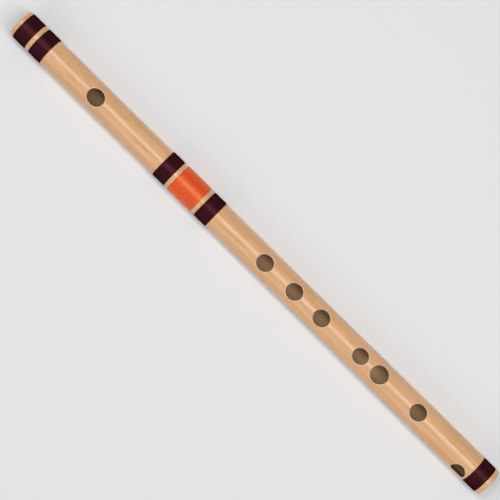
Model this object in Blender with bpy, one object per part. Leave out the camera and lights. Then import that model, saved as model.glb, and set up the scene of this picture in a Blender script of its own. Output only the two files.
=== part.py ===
"""Side-blown bamboo flute with six thread bindings and a sliding cork stopper.

Run it with: blender --background --python part.py

Units are metres and +Z is up. The flute lies along X with its head at -X, its finger holes
face +Z, its tuning hole is on the -Y side, and it rests on its bindings at Z = 0. Places along
the flute are distances from the head end.
"""

import math
from dataclasses import dataclass

import bmesh
import bpy
from mathutils import Matrix
from mathutils import Vector

# Cane
FLUTE_LENGTH = 0.480
HEAD_DIAMETER = 0.0222
NECK_DIAMETER = 0.0218
FINGER_DIAMETER = 0.02205
FOOT_DIAMETER = 0.02275
NECK_PLACE = 0.110
FINGER_PLACE = 0.300
FOOT_TAPER_TO_FOOT = 0.045
BORE_DIAMETER = 0.0175
END_CHAMFER = 0.0004

# Holes and thread: the head is measured from the head end, the foot from the foot end
BLOW_PLACE = 0.0784
TUNING_HOLE_TO_FOOT = 0.0232
FOOT_BINDING_LENGTH = 0.0117
FOOT_BINDING_TO_FOOT = 0.0036

# Thread bindings: the cane is scraped to one seat diameter under all of them
SEAT_DEPTH = 0.0003
SEAT_DIAMETER = NECK_DIAMETER - 2 * SEAT_DEPTH
THREAD_BUILD = 0.0011
BINDING_DIAMETER = SEAT_DIAMETER + 2 * THREAD_BUILD
THREAD_RELIEF = 0.0004
THREAD_WIDTH = 0.00095
THREAD_PITCH = 0.00155
BINDING_MARGIN = 0.0002
REST_FLAT_DEPTH = 0.00008

# Cork stopper
CORK_LENGTH = 0.0235
CORK_TO_BLOW_HOLE = 0.0165
CORK_CHAMFER = 0.0006

# Clearance between pieces that touch on the real flute
FIT_GAP = 0.0003

# Facets
CANE_SIDES = 48
THREAD_SIDES = 24
HOLE_SIDES = 32
CORK_SIDES = 32
CANE_STEP = 0.040
SMOOTH_ANGLE = math.radians(35)

# How far a cutter runs past what it cuts
CUT_OVERRUN = 0.004


@dataclass(frozen=True)
class Hole:
    """A hole in the cane's wall: its size along and across the flute, and its turn from +Z to -Y."""

    name: str
    place: float
    length: float
    width: float
    turn: float


@dataclass(frozen=True)
class Binding:
    """A band of thread: where it starts, how long it is and its colour."""

    name: str
    start: float
    length: float
    colour: str


def tuned(share):
    """A finger hole's place: a share of the sounding length past the blow hole, which sets its note."""
    return BLOW_PLACE + share * (FLUTE_LENGTH - BLOW_PLACE)


BLOW_HOLE = Hole("blow_hole", BLOW_PLACE, 0.0141, 0.0125, 2.7)

HOLES = (
    BLOW_HOLE,
    Hole("finger_hole_1", tuned(0.4287849), 0.0133, 0.0123, -0.6),
    Hole("finger_hole_2", tuned(0.5032371), 0.0132, 0.0123, -0.9),
    Hole("finger_hole_3", tuned(0.5717131), 0.0132, 0.0123, -1.5),
    Hole("finger_hole_4", tuned(0.6705677), 0.0126, 0.0117, -2.7),
    Hole("finger_hole_5", tuned(0.7183765), 0.0141, 0.0134, -3.1),
    Hole("finger_hole_6", tuned(0.8164841), 0.0131, 0.0123, -4.1),
    Hole("tuning_hole", FLUTE_LENGTH - TUNING_HOLE_TO_FOOT, 0.0124, 0.0124, 59.0),
)

FOOT_BINDING_START = FLUTE_LENGTH - FOOT_BINDING_TO_FOOT - FOOT_BINDING_LENGTH

BINDINGS = (
    Binding("head_end_binding", 0.0029, 0.0123, "dark"),
    Binding("head_inner_binding", 0.0187, 0.0121, "dark"),
    Binding("upper_centre_binding", 0.1463, 0.0117, "dark"),
    Binding("orange_centre_binding", 0.1613, 0.0238, "orange"),
    Binding("lower_centre_binding", 0.1885, 0.0121, "dark"),
    Binding("foot_binding", FOOT_BINDING_START, FOOT_BINDING_LENGTH, "dark"),
)

# Worked out from the sizes above
BORE_RADIUS = BORE_DIAMETER / 2
SEAT_RADIUS = SEAT_DIAMETER / 2
CREST_RADIUS = BINDING_DIAMETER / 2
FLOOR_RADIUS = CREST_RADIUS - THREAD_RELIEF
WIDEST_DIAMETER = max(HEAD_DIAMETER, NECK_DIAMETER, FINGER_DIAMETER, FOOT_DIAMETER, BINDING_DIAMETER)
LINING_RADIUS = (SEAT_RADIUS + FIT_GAP) / math.cos(math.pi / THREAD_SIDES)
AXIS_HEIGHT = CREST_RADIUS * math.cos(math.pi / THREAD_SIDES) - REST_FLAT_DEPTH
CORK_RADIUS = BORE_RADIUS - FIT_GAP
CORK_PLACE = BLOW_HOLE.place - CORK_TO_BLOW_HOLE - CORK_LENGTH / 2


def clear_scene():
    """Removes what the scene starts with."""
    for obj in list(bpy.data.objects):
        bpy.data.objects.remove(obj)


def along(place):
    """The X of a distance from the head end, counted from the middle of the flute."""
    return place - FLUTE_LENGTH / 2


def plain_material(name, colour, roughness, metallic=0.0):
    """A Principled BSDF with one colour, as linear red, green and blue."""
    material = bpy.data.materials.new(name)
    material.use_nodes = True
    shader = material.node_tree.nodes["Principled BSDF"]
    shader.inputs["Base Color"].default_value = (*colour, 1.0)
    shader.inputs["Roughness"].default_value = roughness
    shader.inputs["Metallic"].default_value = metallic
    material.diffuse_color = (*colour, 1.0)
    return material


def cane_material():
    """Polished golden bamboo."""
    return plain_material("bamboo", (0.66, 0.39, 0.20), 0.42)


def thread_material(colour):
    """Satin thread, dark aubergine or orange."""
    shades = {"dark": (0.045, 0.011, 0.017), "orange": (0.86, 0.145, 0.03)}
    return plain_material(f"{colour}_thread", shades[colour], 0.5)


def cork_material():
    """Fine natural cork."""
    return plain_material("cork", (0.45, 0.27, 0.13), 0.85)


def mesh_object(name, bm, material, parent, location):
    """Turns a bmesh into a smooth-shaded object under its parent, and frees the bmesh."""
    bmesh.ops.recalc_face_normals(bm, faces=bm.faces)
    mesh = bpy.data.meshes.new(name)
    bm.to_mesh(mesh)
    bm.free()
    mesh.shade_smooth()
    mesh.set_sharp_from_angle(angle=SMOOTH_ANGLE)
    if material is not None:
        mesh.materials.append(material)
    obj = bpy.data.objects.new(name, mesh)
    bpy.context.scene.collection.objects.link(obj)
    obj.parent = parent
    obj.location = location
    return obj


def subtract(obj, cutter):
    """Cuts one helper object out of a part, and keeps the helper out of the render."""
    cutter.hide_render = True
    cutter.display_type = "WIRE"
    modifier = obj.modifiers.new(f"cut_{cutter.name}", "BOOLEAN")
    modifier.operation = "DIFFERENCE"
    modifier.object = cutter


def flute_axis():
    """The empty on the cane's axis at mid-length, which carries every piece."""
    axis = bpy.data.objects.new("flute_axis", None)
    bpy.context.scene.collection.objects.link(axis)
    axis.location = (0.0, 0.0, AXIS_HEIGHT)
    return axis


def cane_radius(place):
    """The cane's outer radius, eased from one measured diameter to the next."""
    stations = (
        (0.0, HEAD_DIAMETER),
        (NECK_PLACE, NECK_DIAMETER),
        (FINGER_PLACE, FINGER_DIAMETER),
        (FLUTE_LENGTH - FOOT_TAPER_TO_FOOT, FOOT_DIAMETER),
        (FLUTE_LENGTH, FOOT_DIAMETER),
    )
    for (start, before), (end, after) in zip(stations, stations[1:]):
        if place <= end:
            share = (place - start) / (end - start)
            eased = (1 - math.cos(math.pi * share)) / 2
            return (before + (after - before) * eased) / 2
    return FOOT_DIAMETER / 2


def cane_outline():
    """The closed outline that is turned into the tube, as (distance from head, radius) points."""
    seats = sorted((band.start - FIT_GAP, band.start + band.length + FIT_GAP) for band in BINDINGS)
    outer = [(0.0, cane_radius(0.0) - END_CHAMFER), (END_CHAMFER, cane_radius(END_CHAMFER))]
    reached = END_CHAMFER
    for start, end in (*seats, (FLUTE_LENGTH - END_CHAMFER, FLUTE_LENGTH)):
        steps = max(1, round((start - reached) / CANE_STEP))
        for step in range(1, steps + 1):
            place = reached + (start - reached) * step / steps
            outer.append((place, cane_radius(place)))
        if end < FLUTE_LENGTH:
            outer += [(start, SEAT_RADIUS), (end, SEAT_RADIUS), (end, cane_radius(end))]
        reached = end
    outer.append((FLUTE_LENGTH, cane_radius(FLUTE_LENGTH) - END_CHAMFER))
    bore = [
        (FLUTE_LENGTH, BORE_RADIUS + END_CHAMFER),
        (FLUTE_LENGTH - END_CHAMFER, BORE_RADIUS),
        (END_CHAMFER, BORE_RADIUS),
        (0.0, BORE_RADIUS + END_CHAMFER),
    ]
    return outer + bore


def hole_cutter(hole, axis):
    """An oval post from the cane's axis out through its wall, turned round the flute."""
    height = WIDEST_DIAMETER / 2 + CUT_OVERRUN
    bm = bmesh.new()
    bmesh.ops.create_cone(
        bm,
        cap_ends=True,
        segments=HOLE_SIDES,
        radius1=0.5,
        radius2=0.5,
        depth=1.0,
        matrix=Matrix.Diagonal((hole.length, hole.width, height, 1.0))
        @ Matrix.Translation((0.0, 0.0, 0.5)),
    )
    cutter = mesh_object(hole.name, bm, None, axis, (along(hole.place), 0.0, 0.0))
    cutter.rotation_euler.x = math.radians(hole.turn)
    return cutter


def bamboo_tube(axis):
    """The cane: an outline turned round the flute's axis, with its holes cut through the wall."""
    turn = math.pi / CANE_SIDES
    bm = bmesh.new()
    ring = [
        bm.verts.new((along(place), radius * math.sin(turn), radius * math.cos(turn)))
        for place, radius in cane_outline()
    ]
    edges = [bm.edges.new(pair) for pair in zip(ring, ring[1:] + ring[:1])]
    bmesh.ops.spin(
        bm,
        geom=ring + edges,
        cent=(0.0, 0.0, 0.0),
        axis=(1.0, 0.0, 0.0),
        angle=2 * math.pi,
        steps=CANE_SIDES,
        use_merge=True,
    )
    tube = mesh_object("bamboo_tube", bm, cane_material(), axis, (0.0, 0.0, 0.0))
    for hole in HOLES:
        subtract(tube, hole_cutter(hole, axis))
    return tube


def rest_cutter(axis):
    """A slab under the flute, whose top at Z = 0 flattens the turns that the flute lies on."""
    bm = bmesh.new()
    size = Vector((FLUTE_LENGTH + 2 * CUT_OVERRUN, WIDEST_DIAMETER, CUT_OVERRUN))
    bmesh.ops.create_cube(bm, size=1.0, matrix=Matrix.Diagonal((*size, 1.0)))
    return mesh_object("rest_plane", bm, None, axis, (0.0, 0.0, -AXIS_HEIGHT - CUT_OVERRUN / 2))


def on_ring(x, radius, column):
    """A point of the many-sided ring at X, with a facet centred on the underside."""
    angle = 2 * math.pi * (column + 0.5) / THREAD_SIDES
    return Vector((x, radius * math.sin(angle), -radius * math.cos(angle)))


def thread_path(length):
    """The middle of the thread as (X, column) from one end of a binding to the other."""
    span = length - 2 * BINDING_MARGIN - THREAD_WIDTH
    loops = max(1, round(span / THREAD_PITCH))
    last = loops * THREAD_SIDES
    return [(span * (step / last - 0.5), step) for step in range(last + 1)]


def least_gap(path):
    """The smallest clear distance between two turns of one thread."""
    points = [on_ring(x, FLOOR_RADIUS, column) for x, column in path]
    half_turn = THREAD_SIDES // 2
    apart = min(
        (points[first] - points[second]).length
        for first in range(len(points))
        for second in range(first + half_turn, len(points))
    )
    return apart - THREAD_WIDTH


def fan(bm, tip, edge_points):
    """Triangles from one point to each stretch of a line of points."""
    for first, second in zip(edge_points, edge_points[1:]):
        bm.faces.new((tip, first, second))


def strip(bm, low, high):
    """Four-sided faces between two rows of points."""
    for first in range(len(low) - 1):
        bm.faces.new((low[first], low[first + 1], high[first + 1], high[first]))


def binding(band, axis, cutter, material):
    """A plain sleeve of thread on the cane with its outer layer wound over it as one helix.

    The outer layer is the outward half of one unbroken thread. Its ends dive into the sleeve.
    """
    path = thread_path(band.length)
    print(f"{band.name}: {path[-1][1] // THREAD_SIDES} turns, {least_gap(path) * 1000:.2f} mm apart")
    bm = bmesh.new()
    near, crest, far = [], [], []
    for x, column in path:
        tucked_in = column in (path[0][1], path[-1][1])
        height = FLOOR_RADIUS if tucked_in else CREST_RADIUS
        near.append(bm.verts.new(on_ring(x - THREAD_WIDTH / 2, FLOOR_RADIUS, column)))
        crest.append(bm.verts.new(on_ring(x, height, column)))
        far.append(bm.verts.new(on_ring(x + THREAD_WIDTH / 2, FLOOR_RADIUS, column)))
    rings = {}
    for side in (-0.5, 0.5):
        for radius in (FLOOR_RADIUS, LINING_RADIUS):
            ring = [bm.verts.new(on_ring(side * band.length, radius, i)) for i in range(THREAD_SIDES)]
            rings[side, radius] = ring + ring[:1]
    head, foot = rings[-0.5, FLOOR_RADIUS], rings[0.5, FLOOR_RADIUS]
    turn = THREAD_SIDES
    strip(bm, near, crest)
    strip(bm, crest, far)
    strip(bm, far[:-turn], near[turn:])
    strip(bm, head[:-1], near[:turn])
    fan(bm, head[-2], [head[-1], near[0], crest[0], far[0], near[turn], near[turn - 1]])
    strip(bm, far[-turn:], foot[1:])
    fan(bm, far[-turn], [foot[1], foot[0], far[-1], crest[-1], near[-1], far[-turn - 1]])
    strip(bm, rings[-0.5, LINING_RADIUS], head)
    strip(bm, foot, rings[0.5, LINING_RADIUS])
    strip(bm, rings[0.5, LINING_RADIUS], rings[-0.5, LINING_RADIUS])
    middle = along(band.start + band.length / 2)
    sleeve = mesh_object(band.name, bm, material, axis, (middle, 0.0, 0.0))
    subtract(sleeve, cutter)
    return sleeve


def cork_stopper(axis):
    """The cork, whose origin is on the axis that it slides along."""
    bm = bmesh.new()
    bmesh.ops.create_cone(
        bm,
        cap_ends=True,
        segments=CORK_SIDES,
        radius1=CORK_RADIUS,
        radius2=CORK_RADIUS,
        depth=CORK_LENGTH,
        matrix=Matrix.Rotation(math.pi / 2, 4, "Y"),
    )
    rims = [edge for edge in bm.edges if abs(edge.verts[0].co.x - edge.verts[1].co.x) < CORK_CHAMFER]
    bmesh.ops.bevel(bm, geom=rims, offset=CORK_CHAMFER, segments=1, affect="EDGES")
    return mesh_object("cork_stopper", bm, cork_material(), axis, (along(CORK_PLACE), 0.0, 0.0))


def build_flute():
    """Makes every piece in the order in which a maker fits them."""
    clear_scene()
    axis = flute_axis()
    bamboo_tube(axis)
    cork_stopper(axis)
    cutter = rest_cutter(axis)
    threads = {colour: thread_material(colour) for colour in ("dark", "orange")}
    for band in BINDINGS:
        binding(band, axis, cutter, threads[band.colour])


build_flute()
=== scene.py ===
"""The looks of a side-blown bamboo flute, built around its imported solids.

The flute lies on a pale floor: +X runs from the head to the foot, +Z goes up through the blow
hole and the finger holes, and the side tuning hole faces -Y. Every size is in metres. A place is
a distance along the flute from the sawn head end, and a turn is an angle round the bore from the
top towards -Y.
"""

import logging
import math
from dataclasses import dataclass, field
from enum import Enum

import bmesh
import bpy
import numpy as np
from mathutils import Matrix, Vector


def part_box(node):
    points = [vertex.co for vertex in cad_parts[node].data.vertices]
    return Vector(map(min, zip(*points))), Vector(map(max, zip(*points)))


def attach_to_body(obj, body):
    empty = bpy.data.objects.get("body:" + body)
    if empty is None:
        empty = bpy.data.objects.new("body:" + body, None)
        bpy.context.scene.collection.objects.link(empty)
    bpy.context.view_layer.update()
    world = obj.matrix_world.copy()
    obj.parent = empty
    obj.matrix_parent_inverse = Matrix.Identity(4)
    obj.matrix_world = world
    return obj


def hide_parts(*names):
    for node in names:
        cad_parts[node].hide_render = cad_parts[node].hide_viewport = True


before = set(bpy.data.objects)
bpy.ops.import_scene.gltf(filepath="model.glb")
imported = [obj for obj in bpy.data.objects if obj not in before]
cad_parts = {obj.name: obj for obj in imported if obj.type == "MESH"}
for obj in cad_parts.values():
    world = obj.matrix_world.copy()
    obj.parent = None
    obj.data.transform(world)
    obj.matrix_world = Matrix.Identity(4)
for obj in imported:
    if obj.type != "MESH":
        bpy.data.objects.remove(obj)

LOG = logging.getLogger("flute")
FULL_TURN = 2 * math.pi
Colour = tuple[float, float, float, float]
Scale = tuple[float, float, float]


class Body(Enum):
    """The bodies of the flute that move on their own."""

    FLUTE = "flute"
    CORK = "cork"


class Thread(Enum):
    """The two threads that the bindings are wound from, by the record's slot names."""

    DARK = "dark_thread"
    ORANGE = "orange_thread"


class Zone(Enum):
    """The kinds of cane surface, by the names of the attributes that mark them."""

    RIM = "rim"
    # Burned hole walls, whose colour also carries painted shade.
    BURN = "burn_and_shade"
    BORE = "bore"
    END = "end"


class Signal:
    """A shader socket's output that can be used in Python arithmetic."""

    def __init__(self, sheet: "Sheet", socket: bpy.types.NodeSocket | None) -> None:
        """Wraps one output socket of a node on the sheet.

        Args:
            sheet: The material that the node belongs to.
            socket: The output, or None for a node that has none.
        """
        self.sheet = sheet
        self.socket = socket

    def _math(self, operation: str, first: "Signal | float", second: "Signal | float") -> "Signal":
        """Adds a Math node.

        Args:
            operation: The Math node's operation.
            first: Its first value or link.
            second: Its second value or link.

        Returns:
            The node's result.
        """
        return self.sheet.node("ShaderNodeMath", {"operation": operation}, {0: first, 1: second})

    def __add__(self, other: "Signal | float") -> "Signal":
        """This value plus another."""
        return self._math("ADD", self, other)

    def __radd__(self, other: float) -> "Signal":
        """A number plus this value."""
        return self._math("ADD", other, self)

    def __sub__(self, other: "Signal | float") -> "Signal":
        """This value less another."""
        return self._math("SUBTRACT", self, other)

    def __rsub__(self, other: float) -> "Signal":
        """A number less this value."""
        return self._math("SUBTRACT", other, self)

    def __mul__(self, other: "Signal | float") -> "Signal":
        """This value times another."""
        return self._math("MULTIPLY", self, other)

    def __rmul__(self, other: float) -> "Signal":
        """A number times this value."""
        return self._math("MULTIPLY", other, self)

    def sine(self) -> "Signal":
        """The sine of this value."""
        return self._math("SINE", self, 0.0)

    def angle_with(self, other: "Signal") -> "Signal":
        """The angle whose tangent is this value over the other."""
        return self._math("ARCTAN2", self, other)

    def step(self, low: float, high: float) -> "Signal":
        """A smooth step of this value.

        Args:
            low: Where the step starts at 0. It may be the larger of the two.
            high: Where the step ends at 1.

        Returns:
            A value from 0 to 1.
        """
        flip = low > high
        values = {0: self, 1: min(low, high), 2: max(low, high), 3: float(flip), 4: 1.0 - flip}
        return self.sheet.node("ShaderNodeMapRange", {"interpolation_type": "SMOOTHSTEP"}, values)


class Sheet:
    """One procedural material while its nodes are laid out."""

    MIX_SHARE, MIX_FIRST, MIX_SECOND, MIX_COLOUR = 0, 6, 7, 2

    def __init__(self, name: str) -> None:
        """Starts an empty material.

        Args:
            name: The material's name.
        """
        self.material = bpy.data.materials.new(name)
        self.material.use_nodes = True
        self.tree = self.material.node_tree
        self.tree.nodes.clear()

    def node(self, kind: str, settings: dict, values: dict, output: int | str = 0) -> Signal:
        """Adds a node.

        Args:
            kind: The node's type.
            settings: Its own settings, set first.
            values: Its input sockets' numbers, colours or links, by name or number.
            output: Which of its outputs is wanted.

        Returns:
            The wanted output.
        """
        made = self.tree.nodes.new(kind)
        for name, value in settings.items():
            setattr(made, name, value)
        for name, value in values.items():
            if isinstance(value, Signal):
                self.tree.links.new(value.socket, made.inputs[name])
            else:
                made.inputs[name].default_value = value
        return Signal(self, made.outputs[output] if len(made.outputs) else None)

    def place(self, *scale: float) -> Signal:
        """The point of the surface in the object's own frame, scaled along each axis.

        Args:
            *scale: How many pattern units fit in a metre along X, Y and Z.

        Returns:
            The scaled point.
        """
        point = self.node("ShaderNodeTexCoord", {}, {}, "Object")
        return self.node("ShaderNodeMapping", {}, {"Vector": point, "Scale": scale})

    def coordinate(self, axis: str) -> Signal:
        """One coordinate of the surface's point in the object's own frame, by its axis letter."""
        return self.node("ShaderNodeSeparateXYZ", {}, {"Vector": self.place(1.0, 1.0, 1.0)}, axis)

    def noise(self, scale: Scale, detail: float) -> Signal:
        """Smooth noise from 0 to 1 on the object's own frame.

        Args:
            scale: How many features fit in a metre along X, Y and Z.
            detail: How many finer layers are added.

        Returns:
            The noise.
        """
        values = {"Vector": self.place(*scale), "Scale": 1.0, "Detail": detail}
        return self.node("ShaderNodeTexNoise", {}, values)

    def attribute(self, zone: Zone) -> Signal:
        """How far the surface belongs to a zone, from 0 to 1."""
        return self.node("ShaderNodeAttribute", {"attribute_name": zone.value}, {}, "Fac")

    def mix(self, share: Signal, first: Signal | Colour, second: Signal | Colour) -> Signal:
        """Mixes two colours.

        Args:
            share: The share of the second colour.
            first: The colour at share 0.
            second: The colour at share 1.

        Returns:
            The mixed colour.
        """
        values = {self.MIX_SHARE: share, self.MIX_FIRST: first, self.MIX_SECOND: second}
        return self.node("ShaderNodeMix", {"data_type": "RGBA"}, values, self.MIX_COLOUR)

    def bump(self, height: Signal, strength: float, distance: float) -> Signal:
        """A normal that a height bends.

        Args:
            height: The height from 0 to 1.
            strength: The bump's strength.
            distance: How high 1 is, in metres.

        Returns:
            The bent normal.
        """
        values = {"Height": height, "Strength": strength, "Distance": distance}
        return self.node("ShaderNodeBump", {}, values)

    def surface(self, values: dict) -> bpy.types.Material:
        """Closes the material with a Principled shader.

        Args:
            values: The shader's inputs.

        Returns:
            The finished material.
        """
        shader = self.node("ShaderNodeBsdfPrincipled", {}, values)
        self.node("ShaderNodeOutputMaterial", {}, {"Surface": shader})
        return self.material


@dataclass(frozen=True)
class Cover:
    """How a pattern lays one colour over another: where it starts, where it is full and how much."""

    start: float
    full: float
    share: float

    def over(self, pattern: Signal) -> Signal:
        """The share of the upper colour, from the pattern's value."""
        return pattern.step(self.start, self.full) * self.share


@dataclass(frozen=True)
class BambooFinish:
    """Oiled and polished cane, with its cut rims, burned holes whose walls are painted darker still for
    the shade inside them, bore and sawn ends.
    """

    gold: Colour = (0.78, 0.435, 0.212, 1)
    straw: Colour = (0.73, 0.385, 0.165, 1)
    pink: Colour = (0.86, 0.485, 0.285, 1)
    fibre: Colour = (0.58, 0.29, 0.12, 1)
    cut_rim: Colour = (0.78, 0.53, 0.35, 1)
    # The hole walls: a burned colour, painted darker still to stand for the shade inside each hole.
    scorch_and_shade: Colour = (0.055, 0.020, 0.008, 1)
    inner_wall: Colour = (0.50, 0.325, 0.17, 1)
    # A darker bore colour towards the head end, round the blow hole.
    head_end_bore_tone: Colour = (0.27, 0.150, 0.065, 1)
    sawn_end: Colour = (0.74, 0.50, 0.34, 1)
    end_fibre: Colour = (0.30, 0.15, 0.07, 1)
    patch_scale: Scale = (17, 210, 210)
    streak_scale: Scale = (45, 1150, 1150)
    line_scale: Scale = (85, 2100, 2100)
    bundle_scale: Scale = (0.0, 2300, 2300)
    straw_patches: Cover = Cover(0.34, 0.66, 0.9)
    pink_streaks: Cover = Cover(0.45, 0.66, 0.75)
    fibre_lines: Cover = Cover(0.53, 0.69, 0.36)
    bore_streaks: Cover = Cover(0.35, 0.70, 0.45)
    # Where along X the bore turns to the darker head-end colour.
    head_end_reach: Cover = Cover(-0.10, -0.155, 0.62)
    end_bundles: Cover = Cover(0.38, 0.16, 0.75)
    roughness: float = 0.34
    streak_roughness: float = 0.16
    raw_roughness: float = 0.34
    oil_coat: float = 0.30
    coat_roughness: float = 0.13
    streak_relief: float = 0.6
    line_relief: float = 0.4
    relief: float = 0.22
    relief_height: float = 0.00008

    def material(self) -> bpy.types.Material:
        """Lays out the cane's material.

        Returns:
            The material.
        """
        sheet = Sheet("bamboo")
        patch = sheet.noise(self.patch_scale, detail=2.0)
        streak = sheet.noise(self.streak_scale, detail=3.0)
        line = sheet.noise(self.line_scale, detail=2.0)
        bundles = sheet.node("ShaderNodeTexVoronoi", {}, {"Vector": sheet.place(*self.bundle_scale)})
        skin = sheet.mix(self.straw_patches.over(patch), self.gold, self.straw)
        skin = sheet.mix(self.pink_streaks.over(streak), skin, self.pink)
        skin = sheet.mix(self.fibre_lines.over(line), skin, self.fibre)
        inner = sheet.mix(self.bore_streaks.over(streak), self.inner_wall, self.fibre)
        # The bore is darker towards the head end, round the blow hole.
        inner = sheet.mix(self.head_end_reach.over(sheet.coordinate("X")), inner, self.head_end_bore_tone)
        ends = sheet.mix(self.end_bundles.over(bundles), self.sawn_end, self.end_fibre)
        colour = sheet.mix(sheet.attribute(Zone.RIM), skin, self.cut_rim)
        colour = sheet.mix(sheet.attribute(Zone.BORE), colour, inner)
        # The hole walls take the burned colour with its painted shade.
        colour = sheet.mix(sheet.attribute(Zone.BURN), colour, self.scorch_and_shade)
        colour = sheet.mix(sheet.attribute(Zone.END), colour, ends)
        raw = sheet.attribute(Zone.BORE) + sheet.attribute(Zone.BURN) + sheet.attribute(Zone.END)
        unpolished = raw.step(0.0, 1.0)
        skin_roughness = self.roughness + (streak - 0.5) * self.streak_roughness
        height = streak * self.streak_relief + line * self.line_relief
        return sheet.surface({
            "Base Color": colour,
            "Roughness": skin_roughness + unpolished * self.raw_roughness,
            "Coat Weight": (1 - unpolished) * self.oil_coat,
            "Coat Roughness": self.coat_roughness,
            "Normal": sheet.bump(height, self.relief, self.relief_height),
        })


@dataclass(frozen=True)
class ThreadFinish:
    """Satin thread, laid round in fine turns.

    The tint colours the gloss seen head on, or the grazing gloss where the thread is metallic.
    """

    name: str
    colour: Colour
    deep: Colour
    gloss_tint: Colour
    metallic: float
    gloss: float
    roughness: float
    index: float = 1.5
    turn_scale: Scale = (2400.0, 60, 60)
    fuzz_scale: Scale = (5200, 5200, 5200)
    deep_turns: Cover = Cover(0.30, 0.70, 0.7)
    fuzz_roughness: float = 0.12
    twist_length: float = 0.00055
    twist_slant: float = 0.9
    twist_relief: float = 0.7
    fuzz_relief: float = 0.3
    relief: float = 0.25
    relief_height: float = 0.00003

    def material(self) -> bpy.types.Material:
        """Lays out the thread's material.

        Returns:
            The material.
        """
        sheet = Sheet(self.name)
        turns = sheet.noise(self.turn_scale, detail=1.0)
        fuzz = sheet.noise(self.fuzz_scale, detail=2.0)
        up = sheet.coordinate("Z") - axis_height()
        arc = sheet.coordinate("Y").angle_with(up) * axis_height()
        slanted = arc + sheet.coordinate("X") * self.twist_slant
        twist = (slanted * (FULL_TURN / self.twist_length)).sine() * 0.5 + 0.5
        height = twist * self.twist_relief + fuzz * self.fuzz_relief
        return sheet.surface({
            "Base Color": sheet.mix(self.deep_turns.over(turns), self.colour, self.deep),
            "Metallic": self.metallic,
            "Roughness": self.roughness + (fuzz - 0.5) * self.fuzz_roughness,
            "IOR": self.index,
            "Specular IOR Level": self.gloss,
            "Specular Tint": self.gloss_tint,
            "Normal": sheet.bump(height, self.relief, self.relief_height),
        })


@dataclass(frozen=True)
class CorkFinish:
    """Natural cork with small grains and dark pores."""

    pale: Colour = (0.52, 0.33, 0.17, 1)
    deep: Colour = (0.36, 0.20, 0.09, 1)
    pore: Colour = (0.09, 0.045, 0.02, 1)
    grain_scale: Scale = (1100, 1100, 1100)
    pore_scale: Scale = (420, 800, 800)
    grain_share: float = 0.8
    pore_edge: tuple[float, float] = (0.60, 0.68)
    roughness: float = 0.86
    grain_relief: float = 0.4
    relief: float = 0.5
    relief_height: float = 0.00025

    def material(self) -> bpy.types.Material:
        """Lays out the cork's material.

        Returns:
            The material.
        """
        sheet = Sheet("cork")
        place = sheet.place(*self.grain_scale)
        grain = sheet.node("ShaderNodeTexVoronoi", {}, {"Vector": place}, "Color")
        tone = sheet.node("ShaderNodeSeparateColor", {}, {0: grain}, 0)
        pores = sheet.noise(self.pore_scale, detail=3.0).step(*self.pore_edge)
        colour = sheet.mix(tone * self.grain_share, self.pale, self.deep)
        return sheet.surface({
            "Base Color": sheet.mix(pores, colour, self.pore),
            "Roughness": self.roughness,
            "Normal": sheet.bump(tone * self.grain_relief - pores, self.relief, self.relief_height),
        })


@dataclass(frozen=True)
class FloorFinish:
    """A plain pale floor."""

    colour: Colour = (0.84, 0.85, 0.86, 1)
    roughness: float = 0.9

    def material(self) -> bpy.types.Material:
        """Lays out the floor's material.

        Returns:
            The material.
        """
        sheet = Sheet("pale_floor")
        return sheet.surface({"Base Color": self.colour, "Roughness": self.roughness})


FINISHES = {
    Thread.DARK: ThreadFinish(
        name="dark_thread",
        colour=(0.089, 0.0205, 0.0262, 1),
        deep=(0.064, 0.0145, 0.0190, 1),
        gloss_tint=(0.25, 0.25, 0.25, 1),
        metallic=0.95,
        gloss=0.0,
        roughness=0.46,
    ),
    Thread.ORANGE: ThreadFinish(
        name="orange_thread",
        colour=(0.89, 0.026, 0.004, 1),
        deep=(0.81, 0.017, 0.003, 1),
        gloss_tint=(1.0, 0.78, 0.26, 1),
        metallic=0.0,
        gloss=1.0,
        roughness=0.46,
        index=2.0,
    ),
}


def axis_height() -> float:
    """The height of the bore's axis over the floor, which is the middle of the cork's solid."""
    low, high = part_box("cork_stopper")
    return (low.z + high.z) / 2


def start_clean() -> None:
    """Leaves edit mode and deselects everything."""
    if bpy.context.object and bpy.context.object.mode != "OBJECT":
        bpy.ops.object.mode_set(mode="OBJECT")
    bpy.ops.object.select_all(action="DESELECT")


def edit(shape: bpy.types.Object) -> None:
    """Opens one shape in edit mode with all of it selected.

    Args:
        shape: The mesh object.
    """
    start_clean()
    shape.select_set(True)
    bpy.context.view_layer.objects.active = shape
    bpy.ops.object.mode_set(mode="EDIT")
    bpy.ops.mesh.select_all(action="SELECT")


def apply_all(shape: bpy.types.Object) -> None:
    """Applies a shape's modifiers in order.

    Args:
        shape: The mesh object.
    """
    start_clean()
    shape.select_set(True)
    bpy.context.view_layer.objects.active = shape
    for modifier in list(shape.modifiers):
        bpy.ops.object.modifier_apply(modifier=modifier.name)


def settle(shape: bpy.types.Object, name: str, material: bpy.types.Material, sharp: float) -> None:
    """Names a finished shape, puts its place into its mesh and gives it its material.

    Args:
        shape: The mesh object.
        name: Its new name.
        material: Its finish.
        sharp: Edges that turn by less than this angle are smooth, in degrees.
    """
    edit(shape)
    bpy.ops.mesh.normals_make_consistent(inside=False)
    start_clean()
    shape.select_set(True)
    bpy.context.view_layer.objects.active = shape
    bpy.ops.object.transform_apply(location=True, rotation=True, scale=True)
    bpy.ops.object.shade_smooth_by_angle(angle=math.radians(sharp))
    shape.name = name
    shape.data.name = name
    shape.data.materials.clear()
    shape.data.materials.append(material)


def attach(shape: bpy.types.Object, body: Body, node: str) -> None:
    """Makes a piece stand for its solid and move with its body.

    Args:
        shape: The piece.
        body: The body that it rides on.
        node: The solid's node.
    """
    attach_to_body(shape, body.value)
    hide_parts(node)
    LOG.info("%s: %d faces on %s", shape.name, len(shape.data.polygons), body.value)


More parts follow.
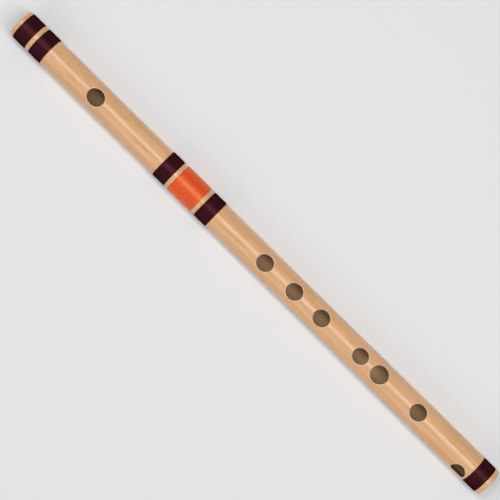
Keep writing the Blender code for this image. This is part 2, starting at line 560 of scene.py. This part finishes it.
@dataclass(frozen=True)
class Hole:
    """One hole through the cane's wall: an oval, straight through along its own direction."""

    name: str
    place: float
    length: float
    width: float
    turn: float

    def point(self, along: float, aside: float, out: float) -> Vector:
        """A point at the hole, counted from the head end and from the bore's axis.

        Args:
            along: How far it is past the hole's middle, towards the foot.
            aside: How far it is to the side of the hole's axis, towards a larger turn.
            out: How far it is out from the bore's axis, along the hole's direction.

        Returns:
            The point, with X from the head end and the bore's axis at Z = 0.
        """
        turn = math.radians(self.turn)
        y = -out * math.sin(turn) - aside * math.cos(turn)
        z = out * math.cos(turn) - aside * math.sin(turn)
        return Vector((self.place + along, y, z))


@dataclass
class Cane:
    """The bamboo tube: its swelling skin, seats, holes with softened rims, bore and sawn ends.

    It is one grid of rings and columns, outside and in the bore, with a window left open at each
    hole. Loops of equal length lead from the outer window's edge round the rim, down the wall and
    out to the inner window's edge.
    """

    head_diameter: float = 0.0222
    neck_diameter: float = 0.0218
    finger_diameter: float = 0.02205
    foot_diameter: float = 0.02275
    neck_place: float = 0.110
    finger_place: float = 0.300
    foot_place: float = 0.435
    bore_radius: float = 0.00875
    seat_radius: float = 0.0106
    seat_margin: float = 0.00006
    seat_step: float = 0.00002
    end_round: float = 0.00045
    rim_round: float = 0.00050
    inner_round: float = 0.00025
    window_margin: float = 0.0012
    ripple: float = 0.00003
    ripple_waves: tuple[tuple[float, float, float], ...] = ((47, 2, 0.0), (131, -3, 1.3))
    nub_place: float = 0.428
    nub_turn: float = -90.0
    nub_height: float = 0.00018
    nub_length: float = 0.0011
    nub_width: float = 0.0016
    nub_rings: int = 5
    nub_step: float = 0.0005
    columns: int = 160
    window_points: int = 68
    window_corner: float = -0.75 * math.pi
    window_shares: tuple[float, ...] = (0.55, 0.16)
    wall_shares: tuple[float, ...] = (0.12, 0.5, 0.85)
    rim_tilts: tuple[int, ...] = (0, 18, 36, 54, 72, 90)
    # The rim's tilt from which it takes the hole wall's burned colour and painted shade.
    burn_and_shade_tilt: int = 72
    inner_tilts: tuple[int, ...] = (90, 60, 30, 0)
    end_tilts: tuple[int, ...] = (30, 60, 90)
    end_shares: tuple[float, ...] = (0.33, 0.66, 0.9)
    longest_step: float = 0.006
    smooth_angle: float = 35.0
    holes: tuple[Hole, ...] = (
        Hole("blow_hole", 0.0784, 0.0141, 0.0125, 2.7),
        Hole("finger_hole_1", 0.2506, 0.0133, 0.0123, -0.6),
        Hole("finger_hole_2", 0.2805, 0.0132, 0.0123, -0.9),
        Hole("finger_hole_3", 0.3080, 0.0132, 0.0123, -1.5),
        Hole("finger_hole_4", 0.3477, 0.0126, 0.0117, -2.7),
        Hole("finger_hole_5", 0.3669, 0.0141, 0.0134, -3.1),
        Hole("finger_hole_6", 0.4063, 0.0131, 0.0123, -4.1),
        Hole("tuning_hole", 0.4568, 0.0124, 0.0124, 59.0),
    )
    seats: list[tuple[float, float]] = field(default_factory=list)

    def __post_init__(self) -> None:
        """Takes the cane's place and length from its solid."""
        low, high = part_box("bamboo_tube")
        self.head = low.x
        self.length = high.x - low.x
        self.axis = axis_height()

    def plain_radius(self, place: float) -> float:
        """The skin's radius, without seats, eased from one measured diameter to the next.

        Args:
            place: The distance from the head end.

        Returns:
            The radius.
        """
        marks = (
            (0.0, self.head_diameter), (self.neck_place, self.neck_diameter),
            (self.finger_place, self.finger_diameter), (self.foot_place, self.foot_diameter),
            (self.length, self.foot_diameter),
        )
        for (start, first), (end, second) in zip(marks, marks[1:]):
            if place <= end:
                share = (1 - math.cos(math.pi * (place - start) / (end - start))) / 2
                return (first + (second - first) * share) / 2
        return self.foot_diameter / 2

    def skin_radius(self, place: float, turn: float) -> float:
        """The skin's radius at a point, with its seats, faint ripple and the nub near the foot.

        Args:
            place: The distance from the head end.
            turn: The angle round the bore, in radians.

        Returns:
            The radius.
        """
        if any(start <= place <= end for start, end in self.seats):
            return self.seat_radius
        ripple = sum(math.sin(run * place + spin * turn + shift) for run, spin, shift in self.ripple_waves)
        reach = math.remainder(turn - math.radians(self.nub_turn), FULL_TURN) * self.foot_diameter / 2
        run = place - self.nub_place
        nub = math.exp(-((run / self.nub_length) ** 2) - (reach / self.nub_width) ** 2)
        return self.plain_radius(place) + self.ripple * ripple / 2 + self.nub_height * nub

    def window(self, hole: Hole, radius: float) -> tuple[float, int, int, int]:
        """The stretch of surface that is taken out round a hole.

        Args:
            hole: The hole.
            radius: The surface's radius there.

        Returns:
            Half its length, its first and last column, and its number of steps along the flute.
        """
        half_length = hole.length / 2 + self.window_margin
        half_turn = math.degrees(math.asin((hole.width / 2 + self.window_margin) / radius))
        column = 360 / self.columns
        first = math.floor((hole.turn - half_turn) / column)
        last = math.ceil((hole.turn + half_turn) / column)
        return half_length, first, last, self.window_points - (last - first)

    def stations(self, inner: bool) -> list[float]:
        """The places of the rings along the skin or the bore.

        Args:
            inner: Whether the bore is meant.

        Returns:
            The places, from head to foot.
        """
        marks = {self.end_round, self.length - self.end_round}
        for hole in self.holes:
            radius = self.bore_radius if inner else self.plain_radius(hole.place)
            half, _, _, steps = self.window(hole, radius)
            marks |= {hole.place + half * (2 * k / steps - 1) for k in range(steps + 1)}
        if not inner:
            for start, end in self.seats:
                marks |= {start - self.seat_step, start, end, end + self.seat_step}
            rings = range(-self.nub_rings, self.nub_rings + 1)
            marks |= {self.nub_place + self.nub_step * k for k in rings}
        ordered = sorted(marks)
        places = []
        for start, end in zip(ordered, ordered[1:]):
            pieces = math.ceil((end - start) / self.longest_step)
            places += [start + (end - start) * k / pieces for k in range(pieces)]
        return places + ordered[-1:]

    def build(self) -> bpy.types.Object:
        """Builds the cane's mesh.

        Returns:
            The finished piece, before it rides on its body.
        """
        self.mesh = bmesh.new()
        self.layers = {zone: self.mesh.verts.layers.float.new(zone.value) for zone in Zone}
        skin_places, bore_places = self.stations(False), self.stations(True)
        skin = [self.ring(place, None, ()) for place in skin_places]
        bore = [self.ring(place, self.bore_radius, (Zone.BORE,)) for place in bore_places]
        taken: tuple[set, set] = (set(), set())
        for hole in self.holes:
            loops = self.window_loops(hole, skin, skin_places, taken[0], False)
            loops += self.wall_loops(hole)
            loops += reversed(self.window_loops(hole, bore, bore_places, taken[1], True))
            for first, second in zip(loops, loops[1:]):
                self.join(first, second, set(), 0)
            LOG.info("%s: %d loops", hole.name, len(loops))
        for surface, missing in ((skin, taken[0]), (bore, taken[1])):
            for number, (first, second) in enumerate(zip(surface, surface[1:])):
                self.join(first, second, missing, number)
        self.close_end(skin[0], bore[0], -1)
        self.close_end(skin[-1], bore[-1], 1)
        data = bpy.data.meshes.new("cane")
        self.mesh.to_mesh(data)
        self.mesh.free()
        shape = bpy.data.objects.new("cane", data)
        bpy.context.collection.objects.link(shape)
        shape.location = (self.head, 0, self.axis)
        settle(shape, "bamboo_cane", BambooFinish().material(), self.smooth_angle)
        return shape

    def vertex(self, point: Vector, zones: dict[Zone, float]) -> bmesh.types.BMVert:
        """Adds a point to the mesh and marks the zones that it belongs to.

        Args:
            point: The point, counted from the head end and from the bore's axis.
            zones: How far it belongs to each zone, from 0 to 1.

        Returns:
            The new vertex.
        """
        made = self.mesh.verts.new(point)
        for zone, share in zones.items():
            made[self.layers[zone]] = share
        return made

    def ring(self, place: float, radius: float | None, zones: tuple[Zone, ...]) -> list:
        """Adds one ring of points round the bore's axis.

        Args:
            place: The ring's place.
            radius: Its radius, or None for the skin's own.
            zones: The zones that it belongs to.

        Returns:
            The ring's vertices, by column.
        """
        made = []
        for column in range(self.columns):
            turn = FULL_TURN * column / self.columns
            reach = self.skin_radius(place, turn) if radius is None else radius
            point = Vector((place, -reach * math.sin(turn), reach * math.cos(turn)))
            made.append(self.vertex(point, {zone: 1.0 for zone in zones}))
        return made

    def join(self, first: list, second: list, missing: set, number: int) -> None:
        """Joins two loops of equal length with faces.

        Args:
            first: One loop.
            second: The next loop.
            missing: The (ring, column) places that get no face.
            number: The first loop's number among the rings.
        """
        count = len(first)
        for column in range(count):
            after = (column + 1) % count
            if (number, column) not in missing:
                self.mesh.faces.new((first[column], first[after], second[after], second[column]))

    def window_loops(self, hole: Hole, rings: list, places: list, taken: set, inner: bool) -> list:
        """Opens a window in a surface and adds the loops that lead from its edge to the hole's rim.

        Args:
            hole: The hole.
            rings: The surface's rings.
            places: The rings' places.
            taken: Gets the (ring, column) places of the faces that the window takes out.
            inner: Whether the surface is the bore.

        Returns:
            The loops, from the window's edge inwards.
        """
        radius = self.bore_radius if inner else self.plain_radius(hole.place)
        half, first, last, steps = self.window(hole, radius)
        start = min(range(len(places)), key=lambda k: abs(places[k] - hole.place + half))
        taken |= {(start + k, c % self.columns) for k in range(steps) for c in range(first, last)}
        edge = [(start, c) for c in range(first, last)]
        edge += [(start + k, last) for k in range(steps)]
        edge += [(start + steps, c) for c in range(last, first, -1)]
        edge += [(start + k, first) for k in range(steps, 0, -1)]
        loops = [[rings[k][c % self.columns] for k, c in edge]]
        rim = self.inner_round if inner else self.rim_round
        zones = {Zone.BORE: 1.0} if inner else {}
        for share in self.window_shares:
            loop = []
            for number, (k, c) in enumerate(edge):
                along, aside = self.oval(hole, number, rim)
                rim_turn = math.radians(hole.turn) + math.asin(aside / radius)
                turn = rim_turn + (FULL_TURN * c / self.columns - rim_turn) * share
                place = hole.place + along + (places[k] - hole.place - along) * share
                reach = radius if inner else self.skin_radius(place, turn)
                point = Vector((place, -reach * math.sin(turn), reach * math.cos(turn)))
                loop.append(self.vertex(point, zones))
            loops.append(loop)
        return loops

    def oval(self, hole: Hole, number: int, growth: float) -> tuple[float, float]:
        """A point of the hole's oval.

        Args:
            hole: The hole.
            number: The point's number, counted from the window's first corner.
            growth: How far the oval is widened all round.

        Returns:
            The point's distances along the flute and to the side.
        """
        angle = self.window_corner - math.pi * number / self.window_points
        half_length, half_width = hole.length / 2 + growth, hole.width / 2 + growth
        return half_length * math.cos(angle), half_width * math.sin(angle)

    def wall_loops(self, hole: Hole) -> list:
        """Adds the loops of a hole's softened rim, its burned wall, painted darker for the shade in the
        hole, and its inner edge.

        Args:
            hole: The hole.

        Returns:
            The loops, from the skin to the bore.
        """
        rows = []
        for tilt in self.rim_tilts:
            angle = math.radians(tilt)
            growth = self.rim_round * (1 - math.sin(angle))
            depth = self.rim_round * (1 - math.cos(angle))
            # From that tilt on, the rim takes the wall's burned colour with its painted shade.
            zones = {Zone.RIM: 1.0} if tilt < self.burn_and_shade_tilt else {Zone.RIM: 0.4, Zone.BURN: 0.5}
            rows.append((growth, depth, None, zones))
        rows += [(0.0, None, share, {Zone.BURN: 1.0}) for share in self.wall_shares]
        for tilt in self.inner_tilts:
            angle = math.radians(tilt)
            growth = self.inner_round * (1 - math.sin(angle))
            depth = self.inner_round * (math.cos(angle) - 1)
            rows.append((growth, depth, 1.0, {Zone.BURN: tilt / 90, Zone.BORE: 1.0}))
        return [self.wall_loop(hole, *row) for row in rows]

    def wall_loop(
        self, hole: Hole, growth: float, depth: float | None, share: float | None, zones: dict[Zone, float]
    ) -> list:
        """Adds one loop of a hole's rim or wall.

        Args:
            hole: The hole.
            growth: How far the oval is widened.
            depth: How far below the skin or the bore's surface the loop lies, or None on the wall.
            share: The loop's share of the way from skin to bore, or None at the rim.
            zones: The zones that it belongs to.

        Returns:
            The loop's vertices.
        """
        loop = []
        for number in range(2 * self.window_points):
            along, aside = self.oval(hole, number, growth)
            turn = math.radians(hole.turn) + math.asin(aside / self.plain_radius(hole.place))
            top = math.sqrt(self.skin_radius(hole.place + along, turn) ** 2 - aside ** 2)
            bottom = math.sqrt(self.bore_radius ** 2 - aside ** 2)
            if share is None:
                out = top - depth
            elif depth is None:
                top, bottom = top - self.rim_round, bottom + self.inner_round
                out = top + (bottom - top) * share
            else:
                out = bottom - depth
            loop.append(self.vertex(hole.point(along, aside, out), zones))
        return loop

    def close_end(self, skin: list, bore: list, side: int) -> None:
        """Closes one sawn end with softened edges.

        Args:
            skin: The skin's last ring there.
            bore: The bore's last ring there.
            side: -1 at the head and 1 at the foot.
        """
        face = 0.0 if side < 0 else self.length
        radius = self.plain_radius(face)
        rings = [skin]
        for tilt in self.end_tilts:
            angle = math.radians(tilt)
            inset = self.end_round * (1 - math.cos(angle))
            place = face - side * self.end_round * (1 - math.sin(angle))
            rings.append(self.ring(place, radius - inset, (Zone.END,) if tilt > self.end_tilts[0] else ()))
        for share in self.end_shares:
            between = radius + (self.bore_radius - radius) * share
            rings.append(self.ring(face, between, (Zone.END,)))
        rings.append(bore)
        for first, second in zip(rings, rings[1:]):
            self.join(first, second, set(), 0)


@dataclass
class ThreadBinding:
    """One binding: a core of wound thread with its outer layer of fine turns over it.

    The allowance is how far the turns stay inside the solid's crests. The strand is an oval, and
    its half width and half height are shares of the pitch.
    """

    node: str
    thread: Thread
    cane: Cane
    allowance: float = 0.0
    pitch: float = 0.00042
    half_width_share: float = 0.56
    half_height_share: float = 0.30
    strand_sides: int = 8
    steps: int = 96
    core_radius: float = 0.01068
    core_inset: float = 0.00008
    core_depth_in_strands: float = 1.7
    core_round: float = 0.0003
    core_segments: int = 4
    merge_distance: float = 0.000002
    shoulder_length: float = 0.0009
    shoulder_drop: float = 0.00026
    shoulder_share: float = 0.65
    tail_steps: int = 20
    tail_depth: float = 0.0003
    unevenness: float = 0.000012
    uneven_waves: tuple[tuple[float, float], ...] = ((2.1, 0.0), (5.3, 1.0))
    sway: float = 0.00002
    sway_wave: tuple[float, float] = (3.7, 0.4)
    smooth_angle: float = 60.0

    def __post_init__(self) -> None:
        """Takes the binding's place and size from its solid."""
        low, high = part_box(self.node)
        self.start, self.end = low.x, high.x
        self.axis = (low.z + high.z) / 2
        self.radius = (high.z - low.z) / 2 - self.allowance
        self.strand = self.half_width_share * self.pitch
        self.strand_height = self.half_height_share * self.pitch

    def seat(self) -> tuple[float, float]:
        """Where the cane is turned down for the binding, as two places."""
        margin = self.cane.seat_margin
        return self.start - self.cane.head - margin, self.end - self.cane.head + margin

    def build(self) -> bpy.types.Object:
        """Builds the binding.

        Returns:
            The finished piece, before it rides on its body.
        """
        winding, core = self.winding(), self.core()
        start_clean()
        core.select_set(True)
        winding.select_set(True)
        bpy.context.view_layer.objects.active = winding
        bpy.ops.object.join()
        winding.location.z = self.axis
        name = self.node.replace("_binding", "_thread")
        settle(winding, name, FINISHES[self.thread].material(), self.smooth_angle)
        return winding

    def winding(self) -> bpy.types.Object:
        """Winds the outer layer with its turns side by side, lower at both ends of the band.

        Returns:
            The winding, round the X axis.
        """
        first = self.start + self.strand
        turns = math.floor((self.end - self.strand - first) / self.pitch)
        start_clean()
        bpy.ops.mesh.primitive_circle_add(
            vertices=self.strand_sides, radius=self.strand,
            location=(first, 0, self.radius - self.strand_height), rotation=(math.pi / 2, 0, 0))
        shape = bpy.context.object
        shape.scale = (1, self.strand_height / self.strand, 1)
        bpy.ops.object.transform_apply(location=True, rotation=True, scale=True)
        screw = shape.modifiers.new("turns", "SCREW")
        screw.axis = "X"
        screw.steps = screw.render_steps = self.steps
        screw.iterations = turns
        screw.screw_offset = (self.end - self.strand - first) / turns
        apply_all(shape)
        self.lay(shape, turns)
        edit(shape)
        bpy.ops.mesh.fill_holes(sides=self.strand_sides)
        start_clean()
        return shape

    def lay(self, shape: bpy.types.Object, turns: int) -> None:
        """Lays the turns down, lower at the band's two shoulders and uneven, with both tails tucked in.

        Args:
            shape: The winding.
            turns: Its number of turns.
        """
        points = np.empty(len(shape.data.vertices) * 3)
        shape.data.vertices.foreach_get("co", points)
        points = points.reshape(-1, 3)
        step = np.arange(len(points)) // self.strand_sides
        last = turns * self.steps
        from_end = np.minimum(step, last - step)
        cane = self.cane.plain_radius((self.start + self.end) / 2 - self.cane.head)
        drop = min(self.shoulder_drop, self.shoulder_share * (self.radius - cane))
        reach = np.clip(from_end / self.steps * self.pitch / self.shoulder_length, 0, 1)
        lower = drop * (1 - np.sqrt(reach * (2 - reach)))
        tail = self.tail_depth * np.clip(1 - from_end / self.tail_steps, 0, 1) ** 2
        turn = step / self.steps
        uneven = self.unevenness * sum(np.sin(run * turn + shift) for run, shift in self.uneven_waves)
        radius = np.hypot(points[:, 1], points[:, 2])
        share = (radius - lower - tail - np.abs(uneven)) / radius
        points[:, 1] *= share
        points[:, 2] *= share
        middle = (self.start + self.end) / 2
        edge = np.clip(from_end / self.steps, 0, 1)
        run, shift = self.sway_wave
        points[:, 0] += edge * self.sway * np.sin(run * turn + shift) * np.sign(middle - points[:, 0])
        shape.data.vertices.foreach_set("co", points.ravel())
        shape.data.update()

    def core(self) -> bpy.types.Object:
        """Turns the core: a ring with rounded corners under the outer layer.

        Returns:
            The core, round the X axis.
        """
        length = self.end - self.start - 2 * self.core_inset
        outer = self.radius - self.core_depth_in_strands * self.strand_height
        start_clean()
        bpy.ops.mesh.primitive_plane_add(size=1, rotation=(math.pi / 2, 0, 0))
        shape = bpy.context.object
        shape.scale = (length, outer - self.core_radius, 1)
        shape.location = ((self.start + self.end) / 2, 0, (outer + self.core_radius) / 2)
        bpy.ops.object.transform_apply(location=True, rotation=True, scale=True)
        edit(shape)
        bpy.ops.mesh.bevel(offset=self.core_round, segments=self.core_segments, affect="VERTICES")
        bpy.ops.mesh.delete(type="ONLY_FACE")
        bpy.ops.mesh.select_all(action="SELECT")
        bpy.ops.mesh.spin(steps=self.steps, angle=FULL_TURN, center=(0, 0, 0), axis=(1, 0, 0))
        bpy.ops.mesh.select_all(action="SELECT")
        bpy.ops.mesh.remove_doubles(threshold=self.merge_distance)
        start_clean()
        return shape


@dataclass
class CorkStopper:
    """The cork that closes the bore behind the blow hole."""

    node: str = "cork_stopper"
    sides: int = 96
    rings: int = 24
    edge_round: float = 0.0007
    edge_segments: int = 4
    inset_count: int = 6
    inset_step: float = 0.0011
    hollow_depth: float = 0.00012
    hollow_size: float = 0.0016
    smooth_angle: float = 50.0

    def build(self) -> bpy.types.Object:
        """Builds the cork: a cylinder with softened edges and a slightly torn surface.

        Returns:
            The finished piece, before it rides on its body.
        """
        low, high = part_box(self.node)
        middle = (low + high) / 2
        start_clean()
        bpy.ops.mesh.primitive_cylinder_add(
            vertices=self.sides, radius=(high.y - low.y) / 2 - self.hollow_depth, depth=high.x - low.x,
            location=middle, rotation=(0, math.pi / 2, 0))
        shape = bpy.context.object
        edit(shape)
        bpy.ops.mesh.select_mode(type="EDGE")
        self.select_end_edges(shape)
        bpy.ops.mesh.bevel(offset=self.edge_round, segments=self.edge_segments, affect="EDGES")
        self.cut_rings(shape, high.x - low.x)
        self.inset_ends(shape)
        start_clean()
        self.roughen(shape)
        settle(shape, "cork_bung", CorkFinish().material(), self.smooth_angle)
        return shape

    @staticmethod
    def select_end_edges(shape: bpy.types.Object) -> None:
        """Selects the two round edges of the cylinder, in edit mode.

        Args:
            shape: The cork.
        """
        mesh = bmesh.from_edit_mesh(shape.data)
        for edge in mesh.edges:
            first, second = edge.verts
            edge.select = math.isclose(first.co.z, second.co.z, abs_tol=1e-6)
        bmesh.update_edit_mesh(shape.data)

    def cut_rings(self, shape: bpy.types.Object, length: float) -> None:
        """Cuts rings round the side, in edit mode.

        Args:
            shape: The cork.
            length: Its length.
        """
        for number in range(1, self.rings):
            reach = (length - 2 * self.edge_round) * (number / self.rings - 0.5)
            bpy.ops.mesh.select_all(action="SELECT")
            place = shape.matrix_world @ Vector((0, 0, reach))
            bpy.ops.mesh.bisect(plane_co=place, plane_no=(1, 0, 0))

    def inset_ends(self, shape: bpy.types.Object) -> None:
        """Insets both end faces, the only ones with many corners, into rings, in edit mode.

        Args:
            shape: The cork.
        """
        bpy.ops.mesh.select_mode(type="FACE")
        mesh = bmesh.from_edit_mesh(shape.data)
        for face in mesh.faces:
            face.select = len(face.verts) == self.sides
        bmesh.update_edit_mesh(shape.data)
        for _ in range(self.inset_count):
            bpy.ops.mesh.inset(thickness=self.inset_step)

    def roughen(self, shape: bpy.types.Object) -> None:
        """Presses small hollows into the surface.

        Args:
            shape: The cork.
        """
        texture = bpy.data.textures.new("cork_hollows", "CLOUDS")
        texture.noise_scale = self.hollow_size
        texture.noise_depth = 2
        displace = shape.modifiers.new("hollows", "DISPLACE")
        displace.texture = texture
        displace.strength = self.hollow_depth
        displace.mid_level = 1.0
        apply_all(shape)


@dataclass(frozen=True)
class Lamp:
    """One soft lamp that points at the flute's middle."""

    name: str
    place: tuple[float, float, float]
    size: tuple[float, float]
    power: float

    def build(self) -> None:
        """Hangs the lamp."""
        data = bpy.data.lights.new(self.name, "AREA")
        data.shape = "RECTANGLE"
        data.size, data.size_y = self.size
        data.energy = self.power
        lamp = bpy.data.objects.new(self.name, data)
        bpy.context.collection.objects.link(lamp)
        lamp.location = self.place
        lamp.rotation_euler = (-Vector(self.place)).to_track_quat("-Z", "Y").to_euler()
        lamp.visible_camera = False


@dataclass
class Studio:
    """The floor, the soft light and the camera, which looks straight down on the flute."""

    camera_place: tuple[float, float, float] = (-0.00385, -0.0008, 1.7525)
    camera_turn: float = 44.56
    lens: float = 171.4
    sensor: float = 36.0
    world_strength: float = 0.18
    floor_size: float = 6.0
    smooth_angle: float = 30.0
    lamps: tuple[Lamp, ...] = (
        Lamp("key", (-0.1, -1.25, 0.95), (1.2, 1.0), 4.6),
        Lamp("overhead", (0.0, 0.12, 1.45), (2.4, 0.52), 18.0),
        Lamp("near_strip", (0.0, 0.08, 1.43), (2.4, 0.025), 0.15),
        Lamp("far_strip", (0.0, 0.33, 1.40), (2.4, 0.025), 0.8),
        Lamp("fill", (0.3, 1.1, 0.9), (1.2, 1.0), 0.5),
    )

    def build(self) -> None:
        """Sets the stage."""
        start_clean()
        bpy.ops.mesh.primitive_plane_add(size=self.floor_size)
        floor = bpy.context.object
        settle(floor, "floor", FloorFinish().material(), self.smooth_angle)
        for lamp in self.lamps:
            lamp.build()
        world = bpy.data.worlds.new("soft_room")
        world.use_nodes = True
        room = world.node_tree.nodes["Background"].inputs
        room["Strength"].default_value = self.world_strength
        room["Color"].default_value = (1, 1, 1, 1)
        scene = bpy.context.scene
        scene.world = world
        scene.view_settings.view_transform = "Standard"
        camera = bpy.data.objects.new("camera", bpy.data.cameras.new("camera"))
        scene.collection.objects.link(camera)
        camera.data.lens, camera.data.sensor_width = self.lens, self.sensor
        camera.location = self.camera_place
        camera.rotation_euler = (0, 0, math.radians(self.camera_turn))
        scene.camera = camera


def main() -> None:
    """Builds the studio and every piece, and reports each one."""
    logging.basicConfig(level=logging.INFO, format="%(name)s: %(message)s")
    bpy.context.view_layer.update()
    Studio().build()
    cane = Cane()
    bindings = [
        ThreadBinding("head_end_binding", Thread.DARK, cane),
        ThreadBinding("head_inner_binding", Thread.DARK, cane),
        ThreadBinding("upper_centre_binding", Thread.DARK, cane),
        ThreadBinding("orange_centre_binding", Thread.ORANGE, cane, allowance=0.00003),
        ThreadBinding("lower_centre_binding", Thread.DARK, cane, allowance=0.00003),
        ThreadBinding("foot_binding", Thread.DARK, cane, allowance=0.00002),
    ]
    cane.seats = [binding.seat() for binding in bindings]
    attach(cane.build(), Body.FLUTE, "bamboo_tube")
    for binding in bindings:
        attach(binding.build(), Body.FLUTE, binding.node)
    cork = CorkStopper()
    attach(cork.build(), Body.CORK, cork.node)


if __name__ == "__main__":
    main()
